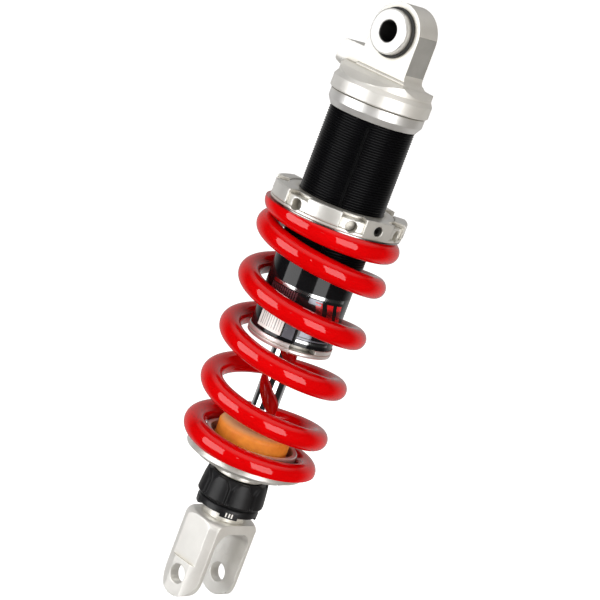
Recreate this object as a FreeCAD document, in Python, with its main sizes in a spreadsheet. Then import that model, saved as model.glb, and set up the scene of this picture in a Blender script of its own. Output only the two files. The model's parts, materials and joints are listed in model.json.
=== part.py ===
import FreeCAD, Part
import math
import os
import re
import Sketcher
from FreeCAD import Placement, Rotation, Vector

# Rear shock absorber, monotube, coil over, in millimetres.
# The origin is the centre of the upper eye's bore. +Z is up, along the shaft, towards the eye.
# Both bolt axes run along Y. Every level is a height above or below the eye's centre.

doc = FreeCAD.newDocument("RearShock")
sheet = doc.addObject("Spreadsheet::Sheet", "Params")

DIMS = [
    # bolts and eye
    ("bolt_radius", 6.02, "half the bore for a 12 mm bolt"),
    ("eye_to_eye", 346.0, "between bolt centres, shock topped out"),
    ("lug_radius", 18.0, "round top of the eye lug"),
    ("lug_half_thick", 8.4, "half thickness of the lug along Y"),
    ("race_radius", 13.0, "bore of the lug for the bearing race"),
    ("race_half", 5.0, "half width of the bearing race"),
    ("ball_radius", 11.4, "spherical bearing ball"),
    ("ball_half", 6.5, "half width of the ball"),
    ("ball_bore", 8.0, "bore of the ball, where the collar noses sit"),
    ("circlip_wire", 1.0, "thickness of a bearing circlip"),
    ("collar_radius", 13.2, "outside of the eye collars"),
    ("collar_end", 15.0, "half width over both collars"),
    ("collar_start", 8.9, "inner face of the collar flange"),
    ("seal_radius", 14.7, "outside of the collar seals"),
    # end cap
    ("plateau_top", -25.9, "shoulder beside the lug"),
    ("roof_start", -24.9, "where the sloped roof in front of the lug starts"),
    ("roof_middle", -27.1, "that roof, halfway out"),
    ("roof_end", -31.0, "that roof, at the cap's wall"),
    ("wall_top", -19.0, "turned wall of the cap, before the roofs are cut"),
    ("wall_end", -30.6, "lower end of that wall"),
    ("cap_chamfer_end", -33.3, "bottom of the cap's cone"),
    ("boss_bottom", -29.8, "underside of the gas port boss"),
    ("cap_bottom", -40.7, "lower face of the cap"),
    ("cap_radius", 30.0, "largest radius of the cap"),
    ("cap_neck_radius", 28.3, "turned wall above the cone"),
    ("boss_reach", 36.0, "how far the gas port boss stands out"),
    ("boss_top", -14.1, "top of the gas port boss"),
    ("chamber_top", -33.0, "roof of the gas chamber"),
    # cylinder
    ("crest_radius", 26.0, "M52 x 1.5 thread crest"),
    ("tube_radius", 25.3, "smooth part of the cylinder"),
    ("tube_bore", 23.0, "46 mm bore"),
    ("thread_end", -136.0, "last thread"),
    ("tube_bottom", -187.1, "lower end of the cylinder"),
    ("slot_width", 1.8, "key slot in the thread"),
    ("slot_top", -53.5, "upper end of the key slot"),
    ("lock_top", -41.0, "upper face of the lock ring"),
    ("lock_shoulder", -46.5, "where the lock ring's chamfer starts"),
    ("lock_bottom", -50.4, "lower face of the lock ring"),
    ("lock_radius", 28.7, "lock ring outside"),
    # preload ring
    ("ring_bottom", -112.2, "lower face of the preload ring"),
    ("rim_top", -110.3, "top of the full rim"),
    ("gap_top", -103.8, "top of the ring between lobes"),
    ("inner_top", -102.0, "top of the inner collar"),
    ("lobe_top", -101.3, "top of the lobes"),
    ("rim_radius", 40.5, "full rim"),
    ("gap_radius", 39.5, "between lobes"),
    ("lobe_radius", 41.0, "lobes"),
    ("lobe_inner", 33.0, "inner wall of the lobes"),
    ("lobe_angle", 30.0, "width of a lobe"),
    ("pitch_angle", 51.428571, "one seventh of a turn"),
    ("facet_distance", 39.2, "flat facet from the axis"),
    ("spanner_hole", 3.5, "radius of the spanner holes"),
    ("spanner_height", -108.0, "height of the spanner holes"),
    ("spigot_radius", 28.2, "spigot inside the spring's top coil"),
    ("spigot_bottom", -116.7, "lower end of that spigot"),
    ("grub_radius", 3.0, "M6 grub screw"),
    ("washer_radius", 40.2, "slip washer"),
    # spring
    ("spring_top", -113.15, "upper ground end"),
    ("spring_bottom", -263.95, "lower ground end"),
    ("wire_radius", 6.55, "spring wire"),
    ("coil_radius", 36.2, "mean radius of the coils"),
    ("active_pitch", 32.85, "rise per free turn"),
    ("closed_pitch", 13.3, "rise per closed turn"),
    # cylinder's lower end
    ("clip_bottom", -190.0, "lower face of the retaining clip"),
    ("plate_bottom", -192.6, "lower face of the end plate"),
    ("plate_radius", 26.0, "end plate and retaining clip"),
    ("head_top", -165.0, "upper face of the seal head"),
    ("bush_bore", 8.03, "guide bush on the shaft"),
    # shaft
    ("shaft_radius", 8.0, "16 mm shaft"),
    ("stud_radius", 4.95, "threaded stud that carries the piston"),
    ("shaft_shoulder", -160.2, "shoulder under the piston"),
    ("stud_top", -134.0, "end of the stud"),
    ("shaft_bottom", -309.0, "lower end of the shaft"),
    ("needle_bore", 3.2, "bore for the rebound needle"),
    ("orifice", 1.6, "bleed orifice"),
    ("piston_top", -144.3, "piston"),
    ("piston_bottom", -158.3, "piston"),
    ("piston_radius", 22.9, "piston and floating piston"),
    ("float_top", -50.0, "floating piston"),
    ("float_bottom", -72.0, "floating piston"),
    # lower end
    ("stop_top", -246.6, "top of the bump stop"),
    ("stop_radius", 22.8, "bump stop"),
    ("cup_rim", -255.6, "rim of the bump stop cup"),
    ("cup_radius", 28.7, "outside of the cup"),
    ("cup_inner", 25.8, "inside of the cup"),
    ("seat_top", -264.0, "face under the spring"),
    ("seat_radius", 36.8, "spring seat flange"),
    ("seat_step", -268.7, "lower face of the flange"),
    ("seat_tier_radius", 31.0, "lower tier"),
    ("seat_tier_bottom", -271.8, "lower face of the tier"),
    ("seat_hub_radius", 15.6, "hub of the seat"),
    ("seat_bottom", -278.9, "hub of the seat"),
    ("knob_top", -279.3, "rebound knob"),
    ("knob_bottom", -296.0, "rebound knob"),
    ("knob_radius", 20.9, "rebound knob"),
    ("index_top", -296.3, "index ring"),
    ("index_bottom", -300.7, "index ring"),
    ("index_radius", 18.9, "index ring"),
    ("neck_radius", 12.3, "clevis neck"),
    ("neck_top", -279.0, "top of the neck, under the seat"),
    ("shoulder_top", -306.8, "top of the fork"),
    ("bar_radius", 22.3, "turned bar of the fork"),
    ("fork_half_width", 14.6, "half width of the fork along X"),
    ("fork_flat", 20.1, "outer flats, half the distance over them"),
    ("fork_boss", 21.3, "raised bosses at the bolt, half the distance"),
    ("boss_start", -336.6, "where the bosses start"),
    ("slot_half", 14.0, "half the width of the fork's slot"),
    ("fork_slot_top", -313.0, "roof of the fork's slot"),
    ("slot_corner", 8.5, "corner radius of the slot's roof"),
]
VAL = {}
for row, (alias, value, note) in enumerate(DIMS, start=1):
    sheet.set("A%d" % row, alias)
    sheet.set("B%d" % row, repr(value))
    sheet.setAlias("B%d" % row, alias)
    sheet.set("C%d" % row, note)
    VAL[alias] = value
doc.recompute()

TOKEN = re.compile(r"[A-Za-z_][A-Za-z_0-9]*|\d+\.\d+|\d+|[-+*/]")


def num(text):
    """Value of a sum of products of sheet aliases and numbers."""
    if isinstance(text, (int, float)):
        return float(text)
    total, product, sign, op, started = 0.0, None, 1.0, None, False
    for tok in TOKEN.findall(text):
        if tok in "+-" and product is not None and op is None:
            total += sign * product
            product, sign = None, (1.0 if tok == "+" else -1.0)
        elif tok in "+-":
            sign = sign * (1.0 if tok == "+" else -1.0)
        elif tok in "*/":
            op = tok
        else:
            v = VAL[tok] if tok in VAL else float(tok)
            if product is None:
                product = v
            elif op == "*":
                product *= v
            else:
                product /= v
            op = None
    return total + sign * product


def bound(text):
    """The same sum as a sheet expression."""
    if isinstance(text, (int, float)):
        return repr(float(text))
    return TOKEN.sub(lambda k: "Params." + k.group(0) if k.group(0) in VAL else k.group(0), text)


def body(label):
    b = doc.addObject("PartDesign::Body", label)
    b.Label = label
    return b


def plane(b, role):
    return [f for f in b.Origin.OriginFeatures if f.Role == role][0]


def sketch(b, name, role, offset=None):
    sk = b.newObject("Sketcher::SketchObject", name)
    sk.AttachmentSupport = [(plane(b, role), "")]
    sk.MapMode = "FlatFace"
    if offset is not None:
        sk.AttachmentOffset = offset
    return sk


def fix_point(sk, geo, pos, ex, ey):
    for kind, axis, text in (("DistanceX", -2, ex), ("DistanceY", -1, ey)):
        value = num(text)
        if abs(value) < 1e-9:
            sk.addConstraint(Sketcher.Constraint("PointOnObject", geo, pos, axis))
        else:
            i = sk.addConstraint(Sketcher.Constraint(kind, -1, 1, geo, pos, value))
            if not isinstance(text, (int, float)):
                sk.setExpression("Constraints[%d]" % i, bound(text))


def loop(sk, steps):
    """A closed outline. Each step is (x, y) for a line to that point, or (x, y, radius, side) for an arc
    that ends there: side +1 turns left, -1 turns right, along the way. The first step is the start."""
    pts = [(num(s[0]), num(s[1])) for s in steps]
    n = len(pts)
    base = sk.GeometryCount
    ends = []
    for i in range(n):
        a, c, s = pts[i], pts[(i + 1) % n], steps[(i + 1) % n]
        if len(s) == 2:
            sk.addGeometry(Part.LineSegment(Vector(a[0], a[1], 0), Vector(c[0], c[1], 0)))
            ends.append((1, 2))
        else:
            r, side = num(s[2]), s[3]
            dx, dy = c[0] - a[0], c[1] - a[1]
            half = math.hypot(dx, dy) / 2.0
            up = math.sqrt(max(r * r - half * half, 0.0))
            ux, uy = dx / (2 * half), dy / (2 * half)
            cx = (a[0] + c[0]) / 2.0 - side * uy * up
            cy = (a[1] + c[1]) / 2.0 + side * ux * up
            t0 = math.atan2(a[1] - cy, a[0] - cx)
            t1 = math.atan2(c[1] - cy, c[0] - cx)
            if side < 0:
                t0, t1 = t1, t0
            while t1 < t0:
                t1 += 2 * math.pi
            circle = Part.Circle(Vector(cx, cy, 0), Vector(0, 0, 1), r)
            sk.addGeometry(Part.ArcOfCircle(circle, t0, t1))
            ends.append((1, 2) if side > 0 else (2, 1))
    for i in range(n):
        j = (i + 1) % n
        sk.addConstraint(Sketcher.Constraint("Coincident", base + i, ends[i][1], base + j, ends[j][0]))
    for i in range(n):
        fix_point(sk, base + i, ends[i][0], steps[i][0], steps[i][1])
        s = steps[(i + 1) % n]
        if len(s) == 4:
            k = sk.addConstraint(Sketcher.Constraint("Radius", base + i, num(s[2])))
            if not isinstance(s[2], (int, float)):
                sk.setExpression("Constraints[%d]" % k, bound(s[2]))


def ring(sk, ex, ey, radius):
    g = sk.addGeometry(Part.Circle(Vector(num(ex), num(ey), 0), Vector(0, 0, 1), num(radius)))
    fix_point(sk, g, 3, ex, ey)
    k = sk.addConstraint(Sketcher.Constraint("Radius", g, num(radius)))
    if not isinstance(radius, (int, float)):
        sk.setExpression("Constraints[%d]" % k, bound(radius))
    return g


def box2(x0, y0, x1, y1):
    return [(x0, y0), (x1, y0), (x1, y1), (x0, y1)]


CHECKS = []


def step_volume(b, kind, name, before):
    doc.recompute()
    after = b.Shape.Volume if not b.Shape.isNull() else 0.0
    grown = after - before
    if kind == "add" and grown <= 1e-3:
        raise RuntimeError("%s adds nothing (%.3f)" % (name, grown))
    if not b.Shape.isValid():
        print("not valid after", name)
    if kind == "cut" and grown >= -1e-3:
        raise RuntimeError("%s cuts nothing (%.3f)" % (name, grown))
    CHECKS.append((name, grown))


def volume(b):
    return 0.0 if b.Shape.isNull() else b.Shape.Volume


def revolve(b, sk, axis="V_Axis", angle=360.0, symmetric=False):
    before = volume(b)
    f = b.newObject("PartDesign::Revolution", sk.Name + "_turn")
    f.Profile = sk
    f.ReferenceAxis = (sk, [axis])
    if isinstance(angle, str):
        f.Angle = num(angle)
        f.setExpression("Angle", bound(angle))
    else:
        f.Angle = angle
    if symmetric:
        f.Midplane = True
    step_volume(b, "add", f.Name, before)
    return f


def groove(b, sk, axis="V_Axis"):
    before = volume(b)
    f = b.newObject("PartDesign::Groove", sk.Name + "_groove")
    f.Profile = sk
    f.ReferenceAxis = (sk, [axis])
    f.Angle = 360.0
    step_volume(b, "cut", f.Name, before)
    return f


def extrude(b, kind, sk, length, symmetric=False, reverse=False):
    before = volume(b)
    f = b.newObject("PartDesign::" + kind, sk.Name + "_" + kind.lower())
    f.Profile = sk
    f.Length = num(length)
    if not isinstance(length, (int, float)):
        f.setExpression("Length", bound(length))
    if symmetric:
        f.Midplane = True
    if reverse:
        f.Reversed = True
    step_volume(b, "add" if kind == "Pad" else "cut", f.Name, before)
    return f


def polar(b, feature, count, angle):
    before = volume(b)
    p = b.newObject("PartDesign::PolarPattern", feature.Name + "_set")
    p.Originals = [feature]
    p.Axis = ([f for f in b.Origin.OriginFeatures if f.Role == "Z_Axis"][0], [""])
    p.Angle = num(angle)
    if isinstance(angle, str):
        p.setExpression("Angle", bound(angle))
    p.Occurrences = count
    b.Tip = p
    doc.recompute()
    if abs(volume(b) - before) < 1e-3:
        raise RuntimeError("%s changes nothing" % p.Name)
    return p


def turn_about_z(deg):
    """Offset that swings a sketch on the XZ or YZ plane about the shaft's axis."""
    return Placement(Vector(0, 0, 0), Rotation(Vector(0, 1, 0), deg))


def turned(label, outline, axis="V_Axis", role="XZ_Plane"):
    b = body(label)
    sk = sketch(b, label + "_profile", role)
    loop(sk, outline)
    revolve(b, sk, axis)
    return b


NODES = []


def keep(obj):
    NODES.append(obj)
    return obj


# ---------------------------------------------------------------- end cap with the eye lug
eye = body("end_eye")
sk = sketch(eye, "cap_profile", "XZ_Plane")
loop(sk, [(0, "wall_top"), (0, "chamber_top"), ("crest_radius + 0.02", "chamber_top"),
          ("crest_radius + 0.02", "cap_bottom + 0.4"), ("crest_radius + 0.5", "cap_bottom"),
          ("cap_radius - 0.6", "cap_bottom"), ("cap_radius", "cap_bottom + 0.6"),
          ("cap_radius", "cap_chamfer_end"), ("cap_neck_radius", "wall_end"), ("cap_neck_radius", "wall_top")])
revolve(eye, sk)
# sloped roofs in front of and behind the lug, with a fillet at its foot
for side, tag in ((-1, "front"), (1, "back")):
    sk = sketch(eye, "roof_" + tag, "YZ_Plane")
    m = "0 - " if side < 0 else ""
    loop(sk, [(m + "lug_half_thick", "wall_top + 3"), (m + "lug_half_thick", "roof_start + 1.6"),
              ("0 - lug_half_thick - 1.3" if side < 0 else "lug_half_thick + 1.3", "roof_start - 0.25", 1.6, -side),
              ("-18.4" if side < 0 else "18.4", "roof_middle"), ("-28.4" if side < 0 else "28.4", "roof_end"), ("-33" if side < 0 else "33", "roof_end - 2"),
              ("-33" if side < 0 else "33", "wall_top + 3")])
    extrude(eye, "Pocket", sk, 90.0, symmetric=True)
# shoulder on the +X side: fillet, short flat, steep chamfer
sk = sketch(eye, "side_roof", "XZ_Plane")
loop(sk, [("lug_radius", "wall_top + 3"), ("lug_radius", "plateau_top + 6.1"), ("lug_radius + 6.1", "plateau_top", 6.1, 1), ("lug_radius + 6.8", "plateau_top"),
          (31, "plateau_top - 7"), (31, "wall_top + 3")])
extrude(eye, "Pocket", sk, 90.0, symmetric=True)
# the -X side is cut down to the boss
sk = sketch(eye, "boss_side_cut", "XZ_Plane")
loop(sk, [("0 - lug_radius", "wall_top + 3"), ("0 - lug_radius", "roof_start"), (-31, "roof_start"), (-31, "wall_top + 3")])
extrude(eye, "Pocket", sk, 90.0, symmetric=True)
# lug with a round top
sk = sketch(eye, "lug_outline", "XZ_Plane")
loop(sk, [("0 - lug_radius", 0), ("lug_radius", 0, "lug_radius + 0.0001", -1), ("lug_radius", "plateau_top - 2"), ("0 - lug_radius", "plateau_top - 2")])
extrude(eye, "Pad", sk, "lug_half_thick * 2", symmetric=True)
# gas port boss, rounded underneath
sk = sketch(eye, "boss_section", "YZ_Plane", Placement(Vector(0, 0, -36), Rotation()))
loop(sk, [("0 - lug_half_thick", "boss_top"), ("lug_half_thick", "boss_top"), ("lug_half_thick", "boss_bottom + 5.4"), ("lug_half_thick - 5.4", "boss_bottom", 5.4, -1),
          ("5.4 - lug_half_thick", "boss_bottom"), ("0 - lug_half_thick", "boss_bottom + 5.4", 5.4, -1)])
extrude(eye, "Pad", sk, 20.0)
sk = sketch(eye, "boss_corners", "XZ_Plane")
loop(sk, [(-38, "boss_top - 3.6"), ("0 - boss_reach", "boss_top - 3.6"), ("3.6 - boss_reach", "boss_top"), ("3.6 - boss_reach", "boss_top + 2"), (-38, "boss_top + 2")])
loop(sk, [(-38, "boss_bottom + 2.2"), (-38, "boss_bottom - 1"), ("2.2 - boss_reach", "boss_bottom - 1"), ("2.2 - boss_reach", "boss_bottom"), ("0 - boss_reach", "boss_bottom + 2.2")])
extrude(eye, "Pocket", sk, 40.0, symmetric=True)
sk = sketch(eye, "race_seat", "XZ_Plane")
ring(sk, 0, 0, "race_radius")
extrude(eye, "Pocket", sk, "lug_half_thick * 4", symmetric=True)
sk = sketch(eye, "circlip_grooves", "XY_Plane")
loop(sk, box2("race_radius - 0.5", "race_half", "race_radius + 0.7", "race_half + 1.1"))
loop(sk, box2("race_radius - 0.5", "0 - race_half - 1.1", "race_radius + 0.7", "0 - race_half"))
groove(eye, sk)
# gas port: seat for the plug, drilling across, drilling down to the chamber
sk = sketch(eye, "port_mouth", "YZ_Plane", Placement(Vector(0, 0, -36.5), Rotation()))
ring(sk, 0, -21.8, 5.0)
extrude(eye, "Pocket", sk, 4.0, reverse=True)
sk = sketch(eye, "port_thread", "YZ_Plane", Placement(Vector(0, 0, -36.5), Rotation()))
ring(sk, 0, -21.8, 3.5)
extrude(eye, "Pocket", sk, 15.0, reverse=True)
sk = sketch(eye, "port_cross", "YZ_Plane", Placement(Vector(0, 0, -25), Rotation()))
ring(sk, 0, -21.8, 1.5)
extrude(eye, "Pocket", sk, 7.5, reverse=True)
sk = sketch(eye, "port_down", "XY_Plane", Placement(Vector(0, 0, -36), Rotation()))
ring(sk, -19.0, 0, 1.1)
extrude(eye, "Pocket", sk, 14.2, reverse=True)
keep(eye)

# ---------------------------------------------------------------- spherical bearing in the eye, turned about Y
race = body("bearing_race")
sk = sketch(race, "race_profile", "XY_Plane")
inner = "10.27"
loop(sk, [("race_radius - 0.02", "0 - race_half + 0.02"), ("race_radius - 0.02", "race_half - 0.02"),
          (10.30, "race_half - 0.02"), (10.30, "0 - race_half + 0.02", 11.45, -1)])
revolve(race, sk)
keep(race)

clips = body("bearing_circlips")
sk = sketch(clips, "clip_profile", "XY_Plane")
loop(sk, box2(11.2, "race_half + 0.05", "race_radius + 0.65", "race_half + circlip_wire + 0.05"))
loop(sk, box2(11.2, "0 - race_half - circlip_wire - 0.05", "race_radius + 0.65", "0 - race_half - 0.05"))
revolve(clips, sk, angle=345.0, symmetric=True)
keep(clips)

ball = body("bearing_ball")
sk = sketch(ball, "ball_profile", "XY_Plane")
loop(sk, [("ball_bore", "0 - ball_half"), (9.366, "0 - ball_half"), (9.366, "ball_half", "ball_radius", 1), ("ball_bore", "ball_half")])
revolve(ball, sk)
keep(ball)

collars = body("eye_collars")
sk = sketch(collars, "collar_profile", "XY_Plane")
loop(sk, [("bolt_radius", 0.15), ("ball_bore - 0.02", 0.15), ("ball_bore - 0.02", "ball_half + 0.02"), (9.3, "ball_half + 0.02"),
          (9.3, "collar_start"), ("collar_radius - 0.4", "collar_start"), ("collar_radius", "collar_start + 0.4"),
          ("collar_radius", "collar_end - 1.0"), ("collar_radius - 1.0", "collar_end", 1.0, 1),
          ("bolt_radius + 0.8", "collar_end"), ("bolt_radius", "collar_end - 0.8")])
loop(sk, [("bolt_radius", -0.15), ("bolt_radius", "0 - collar_end + 0.8"), ("bolt_radius + 0.8", "0 - collar_end"),
          ("collar_radius - 1.0", "0 - collar_end"), ("collar_radius", "1.0 - collar_end", 1.0, 1), ("collar_radius", "0 - collar_start - 0.4"),
          ("collar_radius - 0.4", "0 - collar_start"), (9.3, "0 - collar_start"), (9.3, "0 - ball_half - 0.02"),
          ("ball_bore - 0.02", "0 - ball_half - 0.02"), ("ball_bore - 0.02", -0.15)])
revolve(collars, sk)
keep(collars)

seals = body("collar_seals")
sk = sketch(seals, "seal_profile", "XY_Plane")
loop(sk, [("collar_radius + 0.02", 8.7), ("seal_radius - 0.5", 8.7), ("seal_radius", 9.2, 0.5, 1), ("seal_radius", 9.7),
          ("seal_radius - 0.5", 10.2, 0.5, 1), ("collar_radius + 0.02", 10.2)])
loop(sk, [("collar_radius + 0.02", -8.7), ("collar_radius + 0.02", -10.2), ("seal_radius - 0.5", -10.2), ("seal_radius", -9.7, 0.5, 1),
          ("seal_radius", -9.2), ("seal_radius - 0.5", -8.7, 0.5, 1)])
revolve(seals, sk)
keep(seals)

# filling plug in the boss, along X, with a hexagon socket
plug = body("gas_plug")
sk = sketch(plug, "plug_profile", "XZ_Plane")
loop(sk, [(0, 0), (3.45, 0), (3.45, 9.0), (2.9, 9.6), (0, 9.6)])
revolve(plug, sk)
sk = sketch(plug, "plug_socket", "XY_Plane", Placement(Vector(0, 0, 9.6), Rotation()))
loop(sk, [(2.0 * math.cos(math.radians(60 * k)), 2.0 * math.sin(math.radians(60 * k))) if k % 3 else (2.0 * (1 if k == 0 else -1), 0) for k in range(6)])
extrude(plug, "Pocket", sk, 3.5)
plug.Placement = Placement(Vector(-22.5, 0, -21.8), Rotation(Vector(0, 1, 0), -90))
keep(plug)

# ---------------------------------------------------------------- cylinder
tube = body("cylinder_tube")
sk = sketch(tube, "tube_profile", "XZ_Plane")
loop(sk, [("tube_bore", "chamber_top - 0.1"), ("tube_bore", "tube_bottom"), ("tube_radius - 0.4", "tube_bottom"), ("tube_radius", "tube_bottom + 0.4"),
          ("tube_radius", "thread_end - 0.5"), ("crest_radius", "thread_end"),
          ("crest_radius", "chamber_top - 3.6"), ("crest_radius - 1.7", "chamber_top - 3.6"), ("crest_radius - 1.7", "chamber_top - 1.4"),
          ("crest_radius", "chamber_top - 1.4"), ("crest_radius", "chamber_top - 0.6"), ("crest_radius - 0.5", "chamber_top - 0.1")])
revolve(tube, sk)
sk = sketch(tube, "key_slot", "XZ_Plane", Placement(Vector(0, 0, 24.7), Rotation()))
loop(sk, box2("0 - slot_width / 2", "thread_end + 0.2", "slot_width / 2", "slot_top"))
extrude(tube, "Pocket", sk, 4.0, reverse=True)
tube.Placement = Placement(Vector(0, 0, 0), Rotation(Vector(0, 0, 1), 39.3))
keep(tube)

keep(turned("cap_o_ring", [("crest_radius - 1.6", "chamber_top - 3.3"), ("crest_radius - 0.7", "chamber_top - 3.4"),
                           ("crest_radius - 0.02", "chamber_top - 2.9"), ("crest_radius - 0.02", "chamber_top - 2.1"),
                           ("crest_radius - 0.7", "chamber_top - 1.6"), ("crest_radius - 1.6", "chamber_top - 1.7")]))

keep(turned("lock_ring", [("crest_radius + 0.02", "lock_top"), ("crest_radius + 0.02", "lock_bottom + 0.3"), ("crest_radius + 0.3", "lock_bottom"),
                          ("lock_radius", "lock_shoulder"), ("lock_radius", "lock_top - 0.4"), ("lock_radius - 0.4", "lock_top")]))

# ---------------------------------------------------------------- seal head and the cylinder's lower end
keep(turned("seal_head", [("shaft_radius + 1.45", "head_top"), ("shaft_radius + 1.45", "head_top - 18"), ("shaft_radius + 0.6", "head_top - 18"),
                          ("shaft_radius + 0.6", "head_top - 19"), (12.5, "head_top - 19"), (12.5, "clip_bottom"), (20.0, "clip_bottom"),
                          (20.0, "tube_bottom + 0.1"), ("tube_bore - 0.03", "tube_bottom + 0.1"), ("tube_bore - 0.03", "head_top - 11.4"),
                          ("tube_bore - 1.8", "head_top - 11.4"), ("tube_bore - 1.8", "head_top - 9"), ("tube_bore - 0.03", "head_top - 9"),
                          ("tube_bore - 0.03", "head_top - 0.8"), ("tube_bore - 0.8", "head_top")]))
keep(turned("seal_head_o_ring", [("tube_bore - 1.75", "head_top - 11"), ("tube_bore - 0.9", "head_top - 11.3"), ("tube_bore - 0.04", "head_top - 10.6"),
                                 ("tube_bore - 0.04", "head_top - 9.8"), ("tube_bore - 0.9", "head_top - 9.1"), ("tube_bore - 1.75", "head_top - 9.4")]))
keep(turned("guide_bush", box2("bush_bore", "head_top - 17.5", "shaft_radius + 1.43", "head_top - 1.5")))
keep(turned("shaft_seal", [("bush_bore", "head_top - 22"), ("bush_bore", "head_top - 23.5"), ("shaft_radius + 1.2", "clip_bottom + 0.3"), (12.45, "clip_bottom + 0.3"),
                           (12.45, "head_top - 19.1"), ("shaft_radius + 2.6", "head_top - 19.1"), ("shaft_radius + 2.2", "head_top - 21"), ("shaft_radius + 1.2", "head_top - 19.4"),
                           ("shaft_radius + 0.5", "head_top - 19.4")]))
clip = body("retaining_clip")
sk = sketch(clip, "clip_section", "XZ_Plane")
loop(sk, [(20.2, "clip_bottom + 0.05"), ("plate_radius - 0.4", "clip_bottom + 0.05"), ("plate_radius", "clip_bottom + 0.45"), ("plate_radius", "tube_bottom - 0.4"),
          ("plate_radius - 0.4", "tube_bottom - 0.05"), (20.2, "tube_bottom - 0.05")])
revolve(clip, sk, angle=322.6, symmetric=True)
clip.Placement = Placement(Vector(0, 0, 0), Rotation(Vector(0, 0, 1), -29.4 + 180.0))
keep(clip)
keep(turned("end_plate", [(11.2, "clip_bottom - 0.02"), (11.2, "plate_bottom"), ("plate_radius - 1.0", "plate_bottom"), ("plate_radius", "plate_bottom + 1.0", 1.0, 1),
                          ("plate_radius", "clip_bottom - 0.5"), ("plate_radius - 0.48", "clip_bottom - 0.02")]))
keep(turned("dust_wiper", [("bush_bore", "plate_bottom - 0.2"), ("shaft_radius + 0.5", "plate_bottom - 0.4"), ("shaft_radius + 2.6", "plate_bottom + 0.1"), (11.15, "plate_bottom + 0.1"),
                           (11.15, "clip_bottom - 0.05"), ("shaft_radius + 0.8", "clip_bottom - 0.05"), ("bush_bore", "plate_bottom + 1.0")]))

# ---------------------------------------------------------------- floating piston
flo = turned("floating_piston", [(0, "float_bottom"), (8.0, "float_bottom"), (8.8, "float_bottom + 0.8"), (17.0, "float_bottom + 0.8"), (17.8, "float_bottom"),
                                 ("piston_radius - 0.6", "float_bottom"), ("piston_radius", "float_bottom + 0.6"),
                                 ("piston_radius", "float_bottom + 8.6"), ("piston_radius - 1.9", "float_bottom + 8.6"), ("piston_radius - 1.9", "float_bottom + 11.2"),
                                 ("piston_radius", "float_bottom + 11.2"), ("piston_radius", "float_top"), ("piston_radius - 3.4", "float_top"), ("piston_radius - 4.2", "float_bottom + 6"),
                                 (0, "float_bottom + 6")])
keep(flo)
keep(turned("floating_piston_o_ring", [("piston_radius - 1.85", "float_bottom + 9"), ("piston_radius - 0.9", "float_bottom + 8.7"), ("piston_radius + 0.05", "float_bottom + 9.5"),
                                       ("piston_radius + 0.05", "float_bottom + 10.3"), ("piston_radius - 0.9", "float_bottom + 11.1"), ("piston_radius - 1.85", "float_bottom + 10.8")]))

# ---------------------------------------------------------------- preload ring
# its own X axis points through the middle of a gap; the facet is half a pitch round from it
pre = body("preload_ring")
sk = sketch(pre, "ring_profile", "XZ_Plane")
loop(sk, [("crest_radius + 0.05", "inner_top"), ("crest_radius + 0.05", "spigot_bottom"), ("spigot_radius - 0.6", "spigot_bottom"), ("spigot_radius", "spigot_bottom + 0.6"),
          ("spigot_radius", "ring_bottom"), ("rim_radius - 0.4", "ring_bottom"), ("rim_radius", "ring_bottom + 0.4"), ("rim_radius", "rim_top - 0.3"),
          ("rim_radius - 0.3", "rim_top"), ("gap_radius", "rim_top"), ("gap_radius", "gap_top - 0.8"), ("gap_radius - 0.8", "gap_top", 0.8, 1),
          ("lobe_inner", "gap_top"), ("lobe_inner", "inner_top - 0.5"), ("lobe_inner - 0.5", "inner_top")])
revolve(pre, sk)
sk = sketch(pre, "lobe_section", "XZ_Plane", Placement(Vector(0, 0, 0), Rotation(Vector(0, 1, 0), 77.142857)))
loop(sk, [("lobe_inner", "rim_top"), ("lobe_radius - 0.8", "rim_top"), ("lobe_radius", "rim_top + 0.8", 0.8, 1), ("lobe_radius", "lobe_top - 0.9"),
          ("lobe_radius - 0.9", "lobe_top", 0.9, 1), ("lobe_inner + 0.5", "lobe_top"), ("lobe_inner", "lobe_top - 0.5")])
lobe = revolve(pre, sk, angle="lobe_angle", symmetric=True)
polar(pre, lobe, 7, 308.571429)
sk = sketch(pre, "facet_cut", "XZ_Plane", Placement(Vector(0, 0, 0), Rotation(Vector(0, 1, 0), 25.714286)))
loop(sk, box2("facet_distance", "ring_bottom - 1", "facet_distance + 6", "lobe_top + 1"))
extrude(pre, "Pocket", sk, 30.0, symmetric=True)
# grub screw hole through the facet
sk = sketch(pre, "grub_hole", "YZ_Plane", Placement(Vector(0, 0, 0), Rotation(Vector(0, 1, 0), 25.714286)))
ring(sk, 0, "spanner_height + 1.2", "grub_radius + 0.03")
extrude(pre, "Pocket", sk, 46.0, reverse=True)
sk = sketch(pre, "spanner_hole_outline", "YZ_Plane", Placement(Vector(33.4, 0, 0), Rotation(Vector(0, 1, 0), 0)))
sk.AttachmentOffset = Placement(Vector(0, 0, 33.4), Rotation())
ring(sk, 0, "spanner_height", "spanner_hole")
hole = extrude(pre, "Pocket", sk, 9.0, reverse=True)
polar(pre, hole, 7, 308.571429)
pre.Placement = Placement(Vector(0, 0, 0), Rotation(Vector(0, 0, 1), -9.9 - 25.714286))
keep(pre)

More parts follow.
